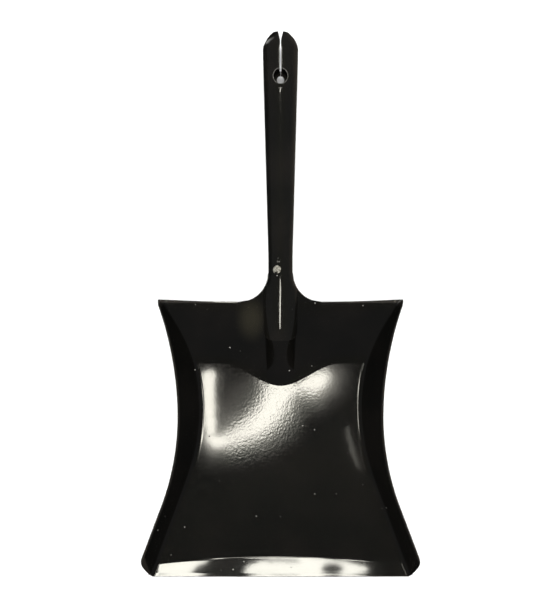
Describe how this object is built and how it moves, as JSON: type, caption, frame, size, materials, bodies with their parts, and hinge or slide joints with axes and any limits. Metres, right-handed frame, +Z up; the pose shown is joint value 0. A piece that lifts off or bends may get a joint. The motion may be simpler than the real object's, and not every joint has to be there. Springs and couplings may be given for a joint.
{
  "type": "grain scoop shovel",
  "caption": "Black lacquered pressed-steel hand shovel with a flared blade, folded side walls and a rolled tube handle with a hanging hole.",
  "frame": {"origin": "on the resting face under the blade, midway between the front lip and the rear edge", "axes": "+X across the blade, +Y from the front lip towards the handle, +Z up out of the blade"},
  "size_m": [0.2206, 0.424, 0.0634],
  "materials": {
    "blade_lacquer": "gloss black lacquer on pressed sheet steel",
    "handle_lacquer": "gloss black lacquer on rolled sheet steel",
    "weld_steel": "bare rough weld metal"
  },
  "bodies": {
    "root": {"blade": "blade_lacquer", "handle": "handle_lacquer", "neck_weld": "weld_steel"}
  },
  "joints": []
}
